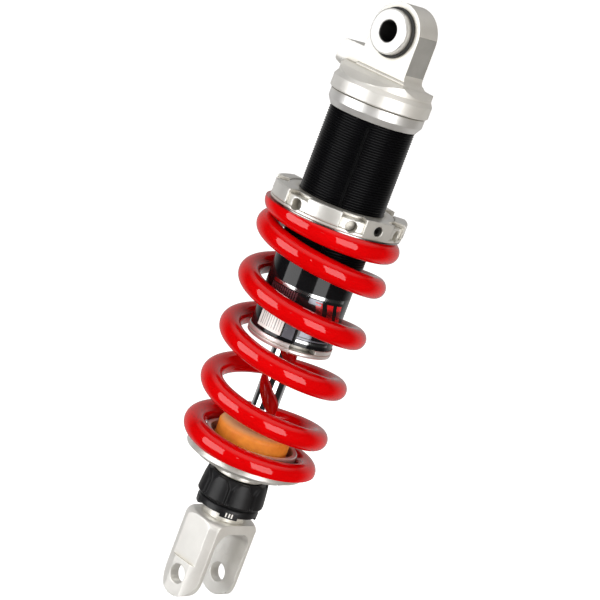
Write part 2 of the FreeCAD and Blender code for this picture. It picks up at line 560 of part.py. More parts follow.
facet_turn = Rotation(Vector(0, 0, 1), -9.9)
grub = body("preload_grub_screw")
sk = sketch(grub, "grub_profile", "XZ_Plane")
loop(sk, [(0, 28.6), ("grub_radius - 0.7", 28.6), ("grub_radius", 29.4), ("grub_radius", 37.6), ("grub_radius - 0.5", 38.1), (0, 38.1)])
revolve(grub, sk)
sk = sketch(grub, "grub_socket", "XY_Plane", Placement(Vector(0, 0, 38.1), Rotation()))
loop(sk, [(1.72 * math.cos(math.radians(60 * k)), 1.72 * math.sin(math.radians(60 * k))) if k % 3 else (1.72 * (1 if k == 0 else -1), 0) for k in range(6)])
extrude(grub, "Pocket", sk, 3.0)
grub.Placement = Placement(Vector(0, 0, VAL["spanner_height"] + 1.2), facet_turn.multiply(Rotation(Vector(0, 1, 0), 90)))
grub.setExpression("Placement.Base.z", "Params.spanner_height + 1.2")
keep(grub)
pad = turned("grub_pad", [(0, 26.4), (2.0, 26.4), (2.4, 26.8), (2.4, 28.5), (0, 28.5)])
pad.Placement = grub.Placement
pad.setExpression("Placement.Base.z", "Params.spanner_height + 1.2")
keep(pad)

# ---------------------------------------------------------------- spring and its washer
keep(turned("slip_washer", box2("spigot_radius + 0.4", "spring_top + 0.05", "washer_radius", "ring_bottom - 0.1")))


def spring_rise(n):
    """Height of the wire's centre after n turns down from the front of the first coil."""
    a0, a1 = 0.45, 1.12      # closed to free, at the top
    b0, b1 = 4.33, 4.97      # free to closed, at the bottom

    def ramp(x, lo, hi):
        """Integral of a smooth step from lo to hi, taken from 0 to x."""
        if x <= lo:
            return 0.0
        u = min((x - lo) / (hi - lo), 1.0)
        area = (hi - lo) * (u ** 3 - u ** 4 / 2.0)
        return area + max(x - hi, 0.0)

    step = VAL["active_pitch"] - VAL["closed_pitch"]
    return -117.65 - VAL["closed_pitch"] * n - step * (ramp(n, a0, a1) - ramp(n, b0, b1))


def spring_point(n, radius):
    ang = math.radians(-50.7 + 360.0 * n)      # left-hand coils
    return Vector(radius * math.cos(ang), radius * math.sin(ang), spring_rise(n))


n_start, n_end, per_turn = -0.62, 5.60, 24
count = int(round((n_end - n_start) * per_turn)) + 1
path_points = [spring_point(n_start + (n_end - n_start) * i / (count - 1.0), VAL["coil_radius"]) for i in range(count)]
curve = Part.BSplineCurve()
curve.interpolate(path_points)
path = Part.Wire([curve.toShape()])
start_dir = curve.tangent(curve.FirstParameter)[0]
section = Part.Wire([Part.makeCircle(VAL["wire_radius"], path_points[0], start_dir)])
pipe = Part.BRepOffsetAPI.MakePipeShell(path)
pipe.setFrenetMode(True)
pipe.add(section, False, True)
pipe.build()
pipe.makeSolid()
wire = pipe.shape()
span = VAL["spring_top"] - VAL["spring_bottom"]
keep_zone = Part.makeCylinder(60.0, span, Vector(0, 0, VAL["spring_bottom"]))
ground = wire.common(keep_zone)
spring = doc.addObject("Part::Feature", "coil_spring")
spring.Label = "coil_spring"
spring.Shape = ground.Solids[0] if len(ground.Solids) == 1 else ground
print("spring: wire volume %.0f, section x length %.0f, ground %.0f, solids %d" % (
    wire.Volume, math.pi * VAL["wire_radius"] ** 2 * path.Length, spring.Shape.Volume, len(ground.Solids)))
keep(spring)

# ---------------------------------------------------------------- shaft and what it carries
rod = body("piston_rod")
sk = sketch(rod, "rod_profile", "XZ_Plane")
loop(sk, [("needle_bore", "shaft_bottom"), ("shaft_radius - 0.6", "shaft_bottom"), ("shaft_radius", "shaft_bottom + 0.6"), ("shaft_radius", "shaft_shoulder - 0.3"),
          ("shaft_radius - 0.3", "shaft_shoulder"), ("stud_radius", "shaft_shoulder"), ("stud_radius", "stud_top - 0.6"), ("stud_radius - 0.6", "stud_top"),
          ("orifice", "stud_top"), ("orifice", "shaft_shoulder"), ("needle_bore", "shaft_shoulder - 1.8")])
revolve(rod, sk)
sk = sketch(rod, "bleed_port", "YZ_Plane")
ring(sk, 0, "shaft_shoulder - 3.6", 1.4)
extrude(rod, "Pocket", sk, 30.0, symmetric=True)
sk = sketch(rod, "pin_slot", "YZ_Plane")
loop(sk, box2(-1.6, -291.2, 1.6, -285.8))
extrude(rod, "Pocket", sk, 40.0, symmetric=True)
keep(rod)

pist = turned("piston", [("stud_radius + 0.03", "piston_bottom"), (9.0, "piston_bottom"), (9.6, "piston_bottom + 0.8"), (18.6, "piston_bottom + 0.8"), (19.2, "piston_bottom"),
                         ("piston_radius - 0.5", "piston_bottom"), ("piston_radius", "piston_bottom + 0.5"), ("piston_radius", "piston_bottom + 3"),
                         ("piston_radius - 1.3", "piston_bottom + 3"), ("piston_radius - 1.3", "piston_top - 3"), ("piston_radius", "piston_top - 3"), ("piston_radius", "piston_top - 0.5"),
                         ("piston_radius - 0.5", "piston_top"), (19.2, "piston_top"), (18.6, "piston_top - 0.8"), (9.6, "piston_top - 0.8"), (9.0, "piston_top"), ("stud_radius + 0.03", "piston_top")])
sk = sketch(pist, "piston_port", "XY_Plane", Placement(Vector(0, 0, -140), Rotation()))
ring(sk, 14.0, 0, 2.6)
port = extrude(pist, "Pocket", sk, 24.0)
polar(pist, port, 8, 360.0)
keep(pist)
keep(turned("piston_band", box2("piston_radius - 1.27", "piston_bottom + 3.05", "tube_bore - 0.04", "piston_top - 3.05")))


def shims(label, first, direction, radii):
    """A stack of thin discs on the stud, as separate solids."""
    discs = []
    for k, r in enumerate(radii):
        z = first + direction * k * 0.43
        d = Part.makeCylinder(r, 0.4, Vector(0, 0, z if direction > 0 else z - 0.4))
        discs.append(d.cut(Part.makeCylinder(VAL["stud_radius"] + 0.05, 4, Vector(0, 0, z - 2))))
    f = doc.addObject("Part::Feature", label)
    f.Label = label
    f.Shape = Part.makeCompound(discs)
    return keep(f)


shims("rebound_shims", VAL["piston_top"] + 0.03, 1, [18.2, 16.0, 13.5, 11.0])
shims("compression_shims", VAL["piston_bottom"] - 0.03, -1, [18.2, 16.0, 13.0, 10.5])

nut = body("piston_nut")
sk = sketch(nut, "nut_outline", "XY_Plane", Placement(Vector(0, 0, -142.4), Rotation()))
R = 9.8
loop(sk, [(R * math.cos(math.radians(60 * k)), R * math.sin(math.radians(60 * k))) if k % 3 else (R * (1 if k == 0 else -1), 0) for k in range(6)])
ring(sk, 0, 0, "stud_radius + 0.03")
extrude(nut, "Pad", sk, 7.0)
sk = sketch(nut, "nut_chamfer", "XZ_Plane")
loop(sk, [(8.4, -135.4), (10.4, -135.4), (10.4, -136.6)])
groove(nut, sk)
keep(nut)

keep(turned("topout_bumper", [("shaft_radius + 0.03", "head_top + 0.3"), (12.2, "head_top + 0.3"), (13.0, "head_top + 1.1", 0.8, 1), (13.0, "shaft_shoulder - 0.9"),
                              (12.6, "shaft_shoulder - 0.5"), ("shaft_radius + 0.03", "shaft_shoulder - 0.5")]))

keep(turned("bump_stop", [("shaft_radius + 0.4", "stop_top - 1.2"), ("shaft_radius + 1.6", "stop_top"), ("stop_radius - 4.0", "stop_top"), ("stop_radius", "stop_top - 4.0", 4.0, -1),
                          ("stop_radius", "stop_top - 8.0"), ("stop_radius - 0.8", "stop_top - 10.5"), ("stop_radius - 0.6", "seat_top + 2.5"), ("shaft_radius + 0.4", "seat_top + 2.5")]))
keep(turned("bump_stop_cup", [("shaft_radius + 0.05", "seat_top + 2.4"), ("shaft_radius + 0.05", "seat_top + 0.03"), ("cup_radius - 0.5", "seat_top + 0.03"), ("cup_radius", "seat_top + 0.53"),
                              ("cup_radius", "cup_rim - 0.5"), ("cup_radius - 0.5", "cup_rim"), ("cup_inner + 0.4", "cup_rim"), ("cup_inner", "cup_rim - 0.4"), ("cup_inner", "seat_top + 2.4")]))

seat = turned("lower_spring_seat", [("shaft_radius + 0.05", "seat_top"), ("shaft_radius + 0.05", "seat_bottom"), ("seat_hub_radius - 0.5", "seat_bottom"), ("seat_hub_radius", "seat_bottom + 0.5", 0.5, 1),
                                    ("seat_hub_radius", "seat_tier_bottom - 2.4"), ("seat_hub_radius + 1.6", "seat_tier_bottom - 0.8", 1.6, -1), ("seat_tier_radius - 0.6", "seat_tier_bottom"), ("seat_tier_radius", "seat_tier_bottom + 0.6", 0.6, 1),
                                    ("seat_tier_radius + 1.0", "seat_tier_bottom + 1.1"), ("seat_radius - 0.6", "seat_step"), ("seat_radius", "seat_step + 0.6", 0.6, 1), ("seat_radius", "seat_top - 0.8"), ("seat_radius - 0.8", "seat_top", 0.8, 1)])
sk = sketch(seat, "seat_notch", "YZ_Plane", Placement(Vector(0, 0, 29.0), Rotation()))
ring(sk, 0, "seat_tier_bottom + 0.1", 1.1)
notch = extrude(seat, "Pocket", sk, 6.0, reverse=True)
polar(seat, notch, 6, 360.0)
keep(seat)

# ---------------------------------------------------------------- fork with its neck
fork = body("clevis")
sk = sketch(fork, "fork_profile", "XZ_Plane")
loop(sk, [(0, "shaft_bottom - 0.2"), ("shaft_radius + 0.02", "shaft_bottom - 0.2"), ("shaft_radius + 0.02", "neck_top"), ("neck_radius - 0.3", "neck_top"), ("neck_radius", "neck_top - 0.3"),
          ("neck_radius", "shoulder_top + 0.8"), ("neck_radius + 0.8", "shoulder_top", 0.8, 1), ("bar_radius - 4.5", "shoulder_top"), ("bar_radius", "shoulder_top - 4.5", 4.5, -1),
          ("bar_radius", "0 - eye_to_eye - 14.6"), (0, "0 - eye_to_eye - 14.6")])
revolve(fork, sk)
sk = sketch(fork, "side_flats", "XY_Plane", Placement(Vector(0, 0, -300), Rotation()))
loop(sk, box2("fork_half_width", -30, "fork_half_width + 20", 30))
loop(sk, box2("0 - fork_half_width - 20", -30, "0 - fork_half_width", 30))
extrude(fork, "Pocket", sk, 80.0)
sk = sketch(fork, "outer_flats", "XY_Plane", Placement(Vector(0, 0, -300), Rotation()))
loop(sk, box2(-30, "fork_flat", 30, "fork_flat + 10"))
loop(sk, box2(-30, "0 - fork_flat - 10", 30, "0 - fork_flat"))
extrude(fork, "Pocket", sk, "0 - boss_start - 300")
sk = sketch(fork, "boss_flats", "XY_Plane", Placement(Vector(0, 0, -336), Rotation()))
loop(sk, box2(-30, "fork_boss", 30, "fork_boss + 10"))
loop(sk, box2(-30, "0 - fork_boss - 10", 30, "0 - fork_boss"))
extrude(fork, "Pocket", sk, 40.0)
sk = sketch(fork, "fork_slot", "YZ_Plane")
loop(sk, [("0 - slot_half", -370), ("slot_half", -370), ("slot_half", "fork_slot_top - slot_corner"), ("slot_half - slot_corner", "fork_slot_top", "slot_corner", 1),
          ("slot_corner - slot_half", "fork_slot_top"), ("0 - slot_half", "fork_slot_top - slot_corner", "slot_corner", 1)])
extrude(fork, "Pocket", sk, 80.0, symmetric=True)
sk = sketch(fork, "bolt_hole", "XZ_Plane")
ring(sk, 0, "0 - eye_to_eye", "bolt_radius")
extrude(fork, "Pocket", sk, 80.0, symmetric=True)
sk = sketch(fork, "ear_ends", "XZ_Plane")
loop(sk, [("fork_half_width", "0.9 - eye_to_eye", "fork_half_width + 0.0001", 1), (24, "0.9 - eye_to_eye"), (24, "0 - eye_to_eye - 20"), (-24, "0 - eye_to_eye - 20"), (-24, "0.9 - eye_to_eye"),
          ("0 - fork_half_width", "0.9 - eye_to_eye")])
extrude(fork, "Pocket", sk, 80.0, symmetric=True)
sk = sketch(fork, "neck_slot", "YZ_Plane")
loop(sk, box2(-1.6, -291.2, 1.6, -285.8))
extrude(fork, "Pocket", sk, 40.0, symmetric=True)
keep(fork)

# ---------------------------------------------------------------- rebound adjuster
knob = turned("rebound_knob", [("neck_radius + 0.08", "knob_top"), ("neck_radius + 0.08", -285.2), (15.4, -285.2), (15.4, -291.8), ("neck_radius + 0.08", -291.8), ("neck_radius + 0.08", "knob_bottom"),
                               (18.3, "knob_bottom"), ("knob_radius", "knob_bottom + 2.6"), ("knob_radius + 0.1", "knob_bottom + 4.0"), ("knob_radius - 0.6", "knob_top - 3.0"), ("knob_radius - 2.2", "knob_top")])
sk = sketch(knob, "flute", "XY_Plane", Placement(Vector(0, 0, -270), Rotation()))
ring(sk, 23.1, 0, 3.1)
fl = extrude(knob, "Pocket", sk, 24.0)
polar(knob, fl, 8, 360.0)
knob.Placement = Placement(Vector(0, 0, 0), Rotation(Vector(0, 0, 1), -50.7 - 3.0))
keep(knob)

idx = turned("index_ring", [("neck_radius + 0.02", "index_top"), ("neck_radius + 0.02", "index_bottom"), ("index_radius - 0.4", "index_bottom"), ("index_radius", "index_bottom + 0.4"),
                            ("index_radius", "index_top - 0.6"), ("index_radius - 0.6", "index_top")])
sk = sketch(idx, "tab_section", "XZ_Plane")
loop(sk, [(14.5, "index_bottom + 0.5"), (14.5, "index_bottom - 1.5"), ("index_radius + 0.1", "index_bottom - 1.5"), ("index_radius + 0.3", "index_bottom + 2.2"), ("index_radius - 0.6", "index_bottom + 2.2"), ("index_radius - 0.6", "index_bottom + 0.5")])
tab = revolve(idx, sk, angle=34.0, symmetric=True)
polar(idx, tab, 4, 360.0)
sk = sketch(idx, "detent_pocket", "XY_Plane", Placement(Vector(0, 0, -296), Rotation()))
ring(sk, 15.6, 0, 1.3)
extrude(idx, "Pocket", sk, 4.0)
idx.Placement = Placement(Vector(0, 0, 0), Rotation(Vector(0, 0, 1), -41.0))
keep(idx)

spot = Rotation(Vector(0, 0, 1), -41.0).multVec(Vector(15.6, 0, 0))
dball = doc.addObject("Part::Sphere", "detent_ball")
dball.Label = "detent_ball"
dball.Radius = 1.25
dball.Placement = Placement(Vector(spot.x, spot.y, -297.6), Rotation())
keep(dball)

helix = Part.makeHelix(0.36, 0.8, 0.85)
wire_section = Part.Wire([Part.makeCircle(0.14, Vector(0.85, 0, 0), Vector(0, 1, 0))])
hp = Part.Wire(helix.Edges).makePipeShell([wire_section], True, True)
dspring = doc.addObject("Part::Feature", "detent_spring")
dspring.Label = "detent_spring"
dspring.Shape = hp
dspring.Placement = Placement(Vector(spot.x, spot.y, -299.7), Rotation())
keep(dspring)

needle = turned("rebound_needle", [(0, -286.95), (2.6, -286.95), (3.1, -286.4), (3.1, "shaft_shoulder - 6"), (1.15, "shaft_shoulder - 2.2"), (1.0, "shaft_shoulder + 1.5"), (0, "shaft_shoulder + 1.9")])
keep(needle)
pin = doc.addObject("Part::Cylinder", "adjuster_pin")
pin.Label = "adjuster_pin"
pin.Radius = 1.45
pin.Height = 29.6
pin.Placement = Placement(Vector(-14.8, 0, -288.5), Rotation(Vector(0, 1, 0), 90))
keep(pin)

# ---------------------------------------------------------------- checks and files
doc.recompute()
bad = [o.Name for o in doc.Objects if "Invalid" in o.State or "Error" in o.State]
if bad:
    raise RuntimeError("failed objects: " + ", ".join(bad))
for o in NODES:
    s = o.Shape
    if s.isNull() or not s.isValid() or not s.Solids:
        raise RuntimeError("bad shape: " + o.Label)
if len(set(o.Label for o in NODES)) != len(NODES):
    raise RuntimeError("two sub-parts share a name")
os.makedirs("parts", exist_ok=True)
for o in NODES:
    o.Shape.exportStep("parts/" + o.Label + ".step")
    bb = o.Shape.BoundBox
    print("%-24s solids %d  vol %10.1f  z %8.2f %8.2f  x %7.2f %7.2f  y %7.2f %7.2f" % (
        o.Label, len(o.Shape.Solids), o.Shape.Volume, bb.ZMin, bb.ZMax, bb.XMin, bb.XMax, bb.YMin, bb.YMax))
print("nodes", len(NODES))
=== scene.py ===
import json
import math
import random

import bmesh
import bpy
import numpy as np
from mathutils import Matrix, Vector, noise


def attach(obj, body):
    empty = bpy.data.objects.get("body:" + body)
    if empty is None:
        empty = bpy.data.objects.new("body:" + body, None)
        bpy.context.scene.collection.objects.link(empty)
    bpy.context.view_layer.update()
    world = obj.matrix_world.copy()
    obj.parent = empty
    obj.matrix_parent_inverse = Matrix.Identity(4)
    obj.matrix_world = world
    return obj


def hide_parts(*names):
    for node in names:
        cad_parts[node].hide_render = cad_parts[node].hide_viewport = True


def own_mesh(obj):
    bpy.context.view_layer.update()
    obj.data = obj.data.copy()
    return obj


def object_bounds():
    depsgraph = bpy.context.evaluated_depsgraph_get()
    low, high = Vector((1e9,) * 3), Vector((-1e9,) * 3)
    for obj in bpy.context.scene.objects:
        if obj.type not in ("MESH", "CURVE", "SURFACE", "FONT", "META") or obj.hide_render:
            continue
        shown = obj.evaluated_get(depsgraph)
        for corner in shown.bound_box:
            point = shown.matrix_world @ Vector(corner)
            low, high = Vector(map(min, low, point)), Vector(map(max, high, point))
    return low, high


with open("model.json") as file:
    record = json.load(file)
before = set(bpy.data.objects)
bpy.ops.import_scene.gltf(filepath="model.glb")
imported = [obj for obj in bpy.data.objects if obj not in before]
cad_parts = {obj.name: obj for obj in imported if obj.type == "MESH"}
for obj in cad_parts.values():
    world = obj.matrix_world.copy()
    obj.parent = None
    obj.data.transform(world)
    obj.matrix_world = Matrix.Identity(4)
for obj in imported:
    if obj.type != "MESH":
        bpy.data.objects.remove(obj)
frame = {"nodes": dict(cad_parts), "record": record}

CAD_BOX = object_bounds()
MM = 0.001
scene = bpy.context.scene
scene.view_settings.view_transform = "Standard"
scene.view_settings.look = "None"
scene.view_settings.exposure = 0.0
scene.view_settings.gamma = 1.0

# ------------------------------------------------------------------ camera
AZ, EL, ROLL, DIST, LENS = 39.3, 12.3, 20.6, 1.213, 123.75
a, e = math.radians(AZ), math.radians(EL)
back = Vector((math.sin(a) * math.cos(e), -math.cos(a) * math.cos(e), math.sin(e)))
right = Vector((math.cos(a), math.sin(a), 0.0))
up = back.cross(right)
target = Vector((0, 0, -0.1662))
cam_data = bpy.data.cameras.new("camera")
cam_data.lens = LENS
cam_data.sensor_width = 36.0
cam_data.clip_start = 0.05
cam_data.clip_end = 50.0
cam = bpy.data.objects.new("camera", cam_data)
scene.collection.objects.link(cam)
turn = Matrix((right, up, back)).transposed().to_4x4()
cam.matrix_world = Matrix.Translation(target - right * 0.00235 + back * DIST) @ turn @ Matrix.Rotation(math.radians(ROLL), 4, "Z")
scene.camera = cam


# ------------------------------------------------------------------ materials
def new_material(name):
    m = bpy.data.materials.new(name)
    m.use_nodes = True
    nt = m.node_tree
    bsdf = nt.nodes["Principled BSDF"]
    return m, nt, bsdf


def node(nt, kind, **values):
    n = nt.nodes.new(kind)
    for k, v in values.items():
        if k in n.inputs:
            n.inputs[k].default_value = v
        else:
            setattr(n, k, v)
    return n


def coords(nt):
    return node(nt, "ShaderNodeTexCoord").outputs["Object"]


def noise_tex(nt, vec, scale, detail=4.0, rough=0.55):
    n = node(nt, "ShaderNodeTexNoise")
    n.inputs["Scale"].default_value = scale
    n.inputs["Detail"].default_value = detail
    n.inputs["Roughness"].default_value = rough
    nt.links.new(vec, n.inputs["Vector"])
    return n.outputs["Fac"]


def ramp(nt, fac, stops):
    r = node(nt, "ShaderNodeValToRGB")
    el = r.color_ramp.elements
    while len(el) < len(stops):
        el.new(0.5)
    for x, (pos, col) in zip(el, stops):
        x.position = pos
        x.color = (*col, 1.0) if len(col) == 3 else col
    nt.links.new(fac, r.inputs["Fac"])
    return r.outputs["Color"]


def span(nt, fac, lo, hi):
    m = node(nt, "ShaderNodeMapRange")
    m.inputs["To Min"].default_value = lo
    m.inputs["To Max"].default_value = hi
    nt.links.new(fac, m.inputs["Value"])
    return m.outputs["Result"]


def bump(nt, height, strength, distance, normal=None):
    b = node(nt, "ShaderNodeBump")
    b.inputs["Strength"].default_value = strength
    b.inputs["Distance"].default_value = distance
    nt.links.new(height, b.inputs["Height"])
    if normal is not None:
        nt.links.new(normal, b.inputs["Normal"])
    return b.outputs["Normal"]


def lathe_lines(nt, axis, scale):
    """Fine turning marks: noise that changes only with the radius and the height along the turning axis."""
    sep = node(nt, "ShaderNodeSeparateXYZ")
    nt.links.new(coords(nt), sep.inputs[0])
    others = [k for k in "XYZ" if k != axis]
    flat = node(nt, "ShaderNodeCombineXYZ")
    nt.links.new(sep.outputs[others[0]], flat.inputs["X"])
    nt.links.new(sep.outputs[others[1]], flat.inputs["Y"])
    ln = node(nt, "ShaderNodeVectorMath", operation="LENGTH")
    nt.links.new(flat.outputs[0], ln.inputs[0])
    both = node(nt, "ShaderNodeCombineXYZ")
    nt.links.new(ln.outputs["Value"], both.inputs["X"])
    nt.links.new(sep.outputs[axis], both.inputs["Y"])
    return noise_tex(nt, both.outputs[0], scale, 3.0, 0.7)


def aluminium(name, base, rough, turned=None, grain=0.35, spread=0.06, metal=1.0, reach=0.004, dark=0.34, bore=None, round_off=0.0004):
    m, nt, b = new_material(name)
    b.inputs["Metallic"].default_value = metal
    c = coords(nt)
    large = noise_tex(nt, c, 55.0, 4.0)
    lo = tuple(max(x - spread, 0) for x in base)
    hi = tuple(min(x + spread * 0.6, 1) for x in base)
    # Painted shade: an ambient-occlusion node darkens the base colour, with a warm tint, in recesses, holes, creases
    # and between parts. reach sets how far it looks and dark sets how deep the shade goes. steel() and the lug panel
    # use this too.
    recess = node(nt, "ShaderNodeAmbientOcclusion")
    recess.samples = 8
    recess.inputs["Distance"].default_value = reach
    shade = ramp(nt, recess.outputs["AO"], [(0.30, (dark, dark * 0.95, dark * 0.86)), (0.75, (0.90, 0.875, 0.82)), (0.97, (1.0, 1.0, 1.0))])
    both = node(nt, "ShaderNodeMix")
    both.data_type = "RGBA"
    both.blend_type = "MULTIPLY"
    both.inputs["Factor"].default_value = 1.0
    nt.links.new(ramp(nt, large, [(0.3, lo), (0.7, hi)]), both.inputs[6])
    nt.links.new(shade, both.inputs[7])
    colour = both.outputs[2]
    # Painted shade: when bore is given, the colour inside that radius about the Y axis is dimmed to 4.5 percent, so the
    # bore reads dark.
    if bore:
        sep = node(nt, "ShaderNodeSeparateXYZ")
        nt.links.new(c, sep.inputs[0])
        flat = node(nt, "ShaderNodeCombineXYZ")
        nt.links.new(sep.outputs["X"], flat.inputs["X"])
        nt.links.new(sep.outputs["Z"], flat.inputs["Z"])
        ln = node(nt, "ShaderNodeVectorMath", operation="LENGTH")
        nt.links.new(flat.outputs[0], ln.inputs[0])
        inside = node(nt, "ShaderNodeMapRange")
        inside.inputs["From Min"].default_value = bore
        inside.inputs["From Max"].default_value = bore + 0.0003
        inside.inputs["To Min"].default_value = 0.045
        inside.inputs["To Max"].default_value = 1.0
        nt.links.new(ln.outputs["Value"], inside.inputs["Value"])
        dim = node(nt, "ShaderNodeVectorMath", operation="SCALE")
        nt.links.new(colour, dim.inputs[0])
        nt.links.new(inside.outputs["Result"], dim.inputs["Scale"])
        colour = dim.outputs[0]
    nt.links.new(colour, b.inputs["Base Color"])
    fine = noise_tex(nt, c, 5200.0, 2.0, 0.6)
    edge = node(nt, "ShaderNodeBevel")
    edge.samples = 6
    edge.inputs["Radius"].default_value = round_off
    nrm = bump(nt, fine, grain, 0.00004, edge.outputs["Normal"])
    if turned:
        lines = lathe_lines(nt, turned, 4200.0)
        nrm = bump(nt, lines, 0.30, 0.00003, nrm)
        nt.links.new(span(nt, lines, rough * 0.75, rough * 1.3), b.inputs["Roughness"])
    else:
        nt.links.new(span(nt, noise_tex(nt, c, 320.0, 5.0), rough * 0.85, rough * 1.15), b.inputs["Roughness"])
    nt.links.new(nrm, b.inputs["Normal"])
    return m


def steel(name, base, rough):
    return aluminium(name, base, rough, None, 0.15, 0.05)


def painted(name, lo, hi, rough, coat, coat_rough, peel=0.12, peel_scale=900.0, fine=0.0, under=0.5):
    m, nt, b = new_material(name)
    c = coords(nt)
    nt.links.new(ramp(nt, noise_tex(nt, c, 40.0, 5.0), [(0.3, lo), (0.7, hi)]), b.inputs["Base Color"])
    b.inputs["Coat Weight"].default_value = coat
    b.inputs["Coat Roughness"].default_value = coat_rough
    b.inputs["Coat IOR"].default_value = 1.5
    b.inputs["Specular IOR Level"].default_value = under
    nt.links.new(span(nt, noise_tex(nt, c, 260.0, 4.0), rough * 0.8, rough * 1.2), b.inputs["Roughness"])
    nrm = bump(nt, noise_tex(nt, c, peel_scale, 2.0), peel, 0.00006)
    if fine:
        nrm = bump(nt, noise_tex(nt, c, 6000.0, 2.0), fine, 0.00003, nrm)
    nt.links.new(nrm, b.inputs["Normal"])
    nt.links.new(nrm, b.inputs["Coat Normal"])
    return m


def rubber(name, lo, hi, rough, grain=0.5, scale=2600.0, mottle=90.0, depth=0.00008):
    m, nt, b = new_material(name)
    c = coords(nt)
    nt.links.new(ramp(nt, noise_tex(nt, c, mottle, 6.0, 0.65), [(0.32, lo), (0.68, hi)]), b.inputs["Base Color"])
    nt.links.new(span(nt, noise_tex(nt, c, 500.0, 4.0), rough * 0.85, min(rough * 1.15, 1.0)), b.inputs["Roughness"])
    nt.links.new(bump(nt, noise_tex(nt, c, scale, 4.0), grain, depth), b.inputs["Normal"])
    return m


def chrome(name):
    m, nt, b = new_material(name)
    b.inputs["Metallic"].default_value = 1.0
    c = coords(nt)
    nt.links.new(ramp(nt, noise_tex(nt, c, 60.0, 3.0), [(0.3, (0.80, 0.79, 0.82)), (0.7, (0.88, 0.87, 0.89))]), b.inputs["Base Color"])
    lines = lathe_lines(nt, "Z", 9000.0)
    nt.links.new(span(nt, lines, 0.025, 0.07), b.inputs["Roughness"])
    nt.links.new(bump(nt, lines, 0.05, 0.00001), b.inputs["Normal"])
    return m


def foam(name):
    """Cellular foam: orange, blended towards a pale beige over its top face."""
    m = rubber(name, (0.80, 0.24, 0.010), (0.96, 0.36, 0.028), 0.62, 0.6, 1500.0, 160.0, 0.00012)
    nt = m.node_tree
    b = nt.nodes["Principled BSDF"]
    colour = b.inputs["Base Color"].links[0].from_socket
    sep = node(nt, "ShaderNodeSeparateXYZ")
    nt.links.new(coords(nt), sep.inputs[0])
    # paler towards the top face: the colour mixes towards beige above z of about -249 mm
    top = node(nt, "ShaderNodeMapRange")
    top.inputs["From Min"].default_value = -0.2492
    top.inputs["From Max"].default_value = -0.2470
    top.inputs["To Max"].default_value = 0.75
    nt.links.new(sep.outputs["Z"], top.inputs["Value"])
    mix = node(nt, "ShaderNodeMix")
    mix.data_type = "RGBA"
    nt.links.new(top.outputs["Result"], mix.inputs["Factor"])
    nt.links.new(colour, mix.inputs[6])
    mix.inputs[7].default_value = (0.86, 0.62, 0.33, 1.0)
    nt.links.new(mix.outputs[2], b.inputs["Base Color"])
    return m


M = {
    "cast_aluminium": aluminium("blasted_cap", (0.86, 0.85, 0.82), 0.40, metal=0.55),
    "blasted_aluminium": aluminium("blasted_ring", (0.88, 0.87, 0.84), 0.32, metal=0.65),
    "turned_aluminium": aluminium("turned_ring", (0.90, 0.895, 0.885), 0.32, "Z", 0.12, 0.03, 0.7),
    # bore=0.0063 paints the eye's bore nearly black (painted shade), on top of the recess shade of every aluminium.
    "turned_collar": aluminium("turned_collar", (0.88, 0.875, 0.86), 0.30, "Y", 0.12, 0.03, 0.7, bore=0.0063),
    "black_cylinder": painted("cylinder_black", (0.004, 0.004, 0.005), (0.007, 0.007, 0.008), 0.10, 0.30, 0.03, 0.04, 500.0, under=0.22),
    "thread_black": painted("thread_black", (0.0025, 0.0025, 0.003), (0.004, 0.004, 0.005), 0.30, 0.05, 0.12, 0.08, 1400.0, 0.2, under=0.18),
    "chromed_shaft": chrome("shaft_chrome"),
    "red_spring": painted("spring_red", (0.68, 0.0006, 0.0012), (0.76, 0.001, 0.0022), 0.32, 1.0, 0.04, 0.06, 420.0, under=0.0),
    "seal_rubber": rubber("seal_rubber", (0.012, 0.012, 0.012), (0.022, 0.022, 0.021), 0.55),
    "orange_elastomer": foam("stop_elastomer"),
    "bearing_steel": steel("bearing_steel", (0.60, 0.60, 0.61), 0.22),
    "black_screw": painted("screw_black", (0.010, 0.010, 0.010), (0.025, 0.025, 0.024), 0.38, 0.2, 0.2, 0.2, 2000.0),
    "black_knob": painted("knob_black", (0.009, 0.009, 0.010), (0.015, 0.015, 0.016), 0.36, 0.08, 0.25, 0.15, 2500.0, 0.3, under=0.2),
    "black_ring": painted("ring_black", (0.006, 0.006, 0.007), (0.012, 0.012, 0.013), 0.36, 0.15, 0.2, 0.15, 2500.0, 0.3),
    "bronze": aluminium("bush_bronze", (0.62, 0.42, 0.20), 0.35, "Z", 0.1, 0.05),
    "guide_band": rubber("guide_band", (0.16, 0.10, 0.05), (0.26, 0.18, 0.10), 0.5),
    "nylon": rubber("nylon", (0.75, 0.74, 0.68), (0.85, 0.84, 0.78), 0.45, 0.2),
}
# The preload ring gets deeper and wider painted shade in its holes and grooves (reach and dark), and a softened-edge
# normal.
M["ring_face"] = aluminium("blasted_preload_ring", (0.90, 0.89, 0.86), 0.30, metal=0.62, reach=0.005, dark=0.26, round_off=0.0012)
M["clevis_face"] = aluminium("blasted_clevis", (0.95, 0.945, 0.92), 0.32, metal=0.45, round_off=0.0008)
slot_of = {s["node"]: s["material_slot"] for s in frame["record"]["subparts"]}
for name, ob in frame["nodes"].items():
    key = slot_of.get(name, "bearing_steel")
    if name == "eye_collars":
        key = "turned_collar"
    if name == "clevis":
        key = "clevis_face"
    if name == "preload_ring":
        key = "ring_face"
    for s in ob.material_slots:
        s.material = M[key]


